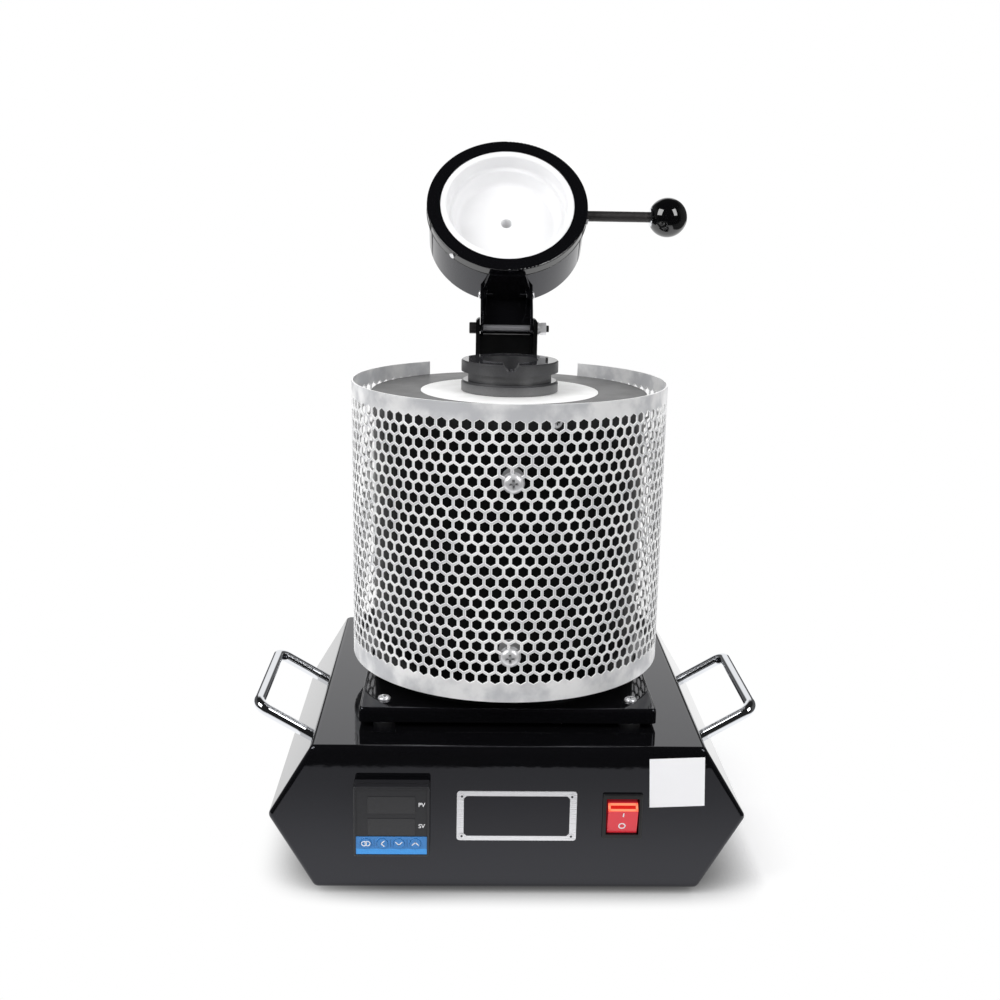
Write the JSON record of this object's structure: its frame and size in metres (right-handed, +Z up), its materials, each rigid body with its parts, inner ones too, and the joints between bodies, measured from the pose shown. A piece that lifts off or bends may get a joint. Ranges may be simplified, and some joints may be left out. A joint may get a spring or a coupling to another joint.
{
  "type": "electric gold melting furnace",
  "caption": "Bench-top electric crucible furnace: hinged lid, perforated guard, graphite crucible, hexagonal control case, side handles, panel controller and rocker switch.",
  "frame": {"origin": "on the bench, under the middle of the whole part with its lid open; the furnace's axis is 28.6 mm in front of it", "axes": "+X to the operator's right, +Y from the control panel to the back, +Z up"},
  "size_m": [0.3436, 0.3324, 0.4814],
  "materials": {
    "powder_black": "gloss powder coat",
    "bright_screws": "bright plated steel",
    "handle_chrome": "polished chrome",
    "guard_steel": "perforated bright sheet",
    "bolt_steel": "blackened steel",
    "foot_rubber": "moulded",
    "white_ceramic": "fired, matt",
    "fibre_board": "pressed ceramic fibre",
    "graphite": "turned graphite, burnished rim",
    "coil_alloy": "resistance alloy, oxidised",
    "knob_black": "polished phenolic",
    "controller_black": "fine moulded texture",
    "display_grey": "smoked window",
    "overlay_blue": "printed film",
    "switch_black": "moulded",
    "rocker_red": "translucent",
    "plate_aluminium": "anodised, dark field",
    "gland_black": "moulded nylon",
    "sink_aluminium": "extruded",
    "relay_case": "moulded"
  },
  "bodies": {
    "base": {"case_cover": "powder_black", "case_tray": "powder_black", "furnace_plate": "powder_black", "furnace_shell": "powder_black", "furnace_cap": "powder_black", "hinge_post": "powder_black", "case_screws": "bright_screws", "foot_screws": "bright_screws", "handle_screws": "bright_screws", "plate_screws": "bright_screws", "shell_screws": "bright_screws", "cap_screws": "bright_screws", "guard_screws": "bright_screws", "post_screws": "bright_screws", "hinge_washers": "bright_screws", "hinge_nut": "bright_screws", "plate_spacers": "bright_screws", "guard_standoffs": "bright_screws", "post_spacers": "bright_screws", "handle_left": "handle_chrome", "handle_right": "handle_chrome", "guard": "guard_steel", "hinge_bolt": "bolt_steel", "rubber_feet": "foot_rubber", "ceramic_ring": "white_ceramic", "heating_tube": "white_ceramic", "lead_bushings": "white_ceramic", "pedestal": "white_ceramic", "insulation": "fibre_board", "graphite_liner": "graphite", "heating_coil": "coil_alloy", "heater_leads": "coil_alloy", "controller": "controller_black", "controller_clip": "controller_black", "controller_windows": "display_grey", "controller_overlay": "overlay_blue", "switch_frame": "switch_black", "name_plate": "plate_aluminium", "name_plate_rivets": "plate_aluminium", "gland_body": "gland_black", "gland_nut": "gland_black", "gland_locknut": "gland_black", "heat_sink": "sink_aluminium", "solid_state_relay": "relay_case"},
    "lid": {"lid_shell": "powder_black", "lid_ring": "powder_black", "lid_ring_screws": "bright_screws", "lid_insert": "white_ceramic", "lid_saddle": "powder_black", "lid_arm": "powder_black", "lid_arm_screws": "bright_screws", "knob_rod": "bolt_steel", "knob": "knob_black", "knob_washer": "handle_chrome"},
    "crucible": {"crucible": "graphite"},
    "rocker": {"switch_rocker": "rocker_red"},
    "key_set": {"key_set": "overlay_blue"},
    "key_shift": {"key_shift": "overlay_blue"},
    "key_down": {"key_down": "overlay_blue"},
    "key_up": {"key_up": "overlay_blue"}
  },
  "joints": [
    {"name": "lid_hinge", "type": "hinge", "parent": "base", "child": "lid", "pos_m": [0, 0.06221, 0.3432], "axis": [-1, 0, 0], "range_deg": [-129.3, 0]},
    {"name": "crucible_lift", "type": "slide", "parent": "base", "child": "crucible", "axis": [0, 0, 1], "range_m": [0, 0.15]},
    {"name": "switch_rocker", "type": "hinge", "parent": "base", "child": "rocker", "pos_m": [0.0732, -0.14929, 0.0558], "axis": [-1, 0, 0], "range_deg": [0, 28]},
    {"name": "key_set_press", "type": "slide", "parent": "base", "child": "key_set", "axis": [0, 1, 0], "range_m": [0, 0.0004], "stiffness_N_per_m": 400, "springref_m": -0.0005},
    {"name": "key_shift_press", "type": "slide", "parent": "base", "child": "key_shift", "axis": [0, 1, 0], "range_m": [0, 0.0004], "stiffness_N_per_m": 400, "springref_m": -0.0005},
    {"name": "key_down_press", "type": "slide", "parent": "base", "child": "key_down", "axis": [0, 1, 0], "range_m": [0, 0.0004], "stiffness_N_per_m": 400, "springref_m": -0.0005},
    {"name": "key_up_press", "type": "slide", "parent": "base", "child": "key_up", "axis": [0, 1, 0], "range_m": [0, 0.0004], "stiffness_N_per_m": 400, "springref_m": -0.0005}
  ]
}
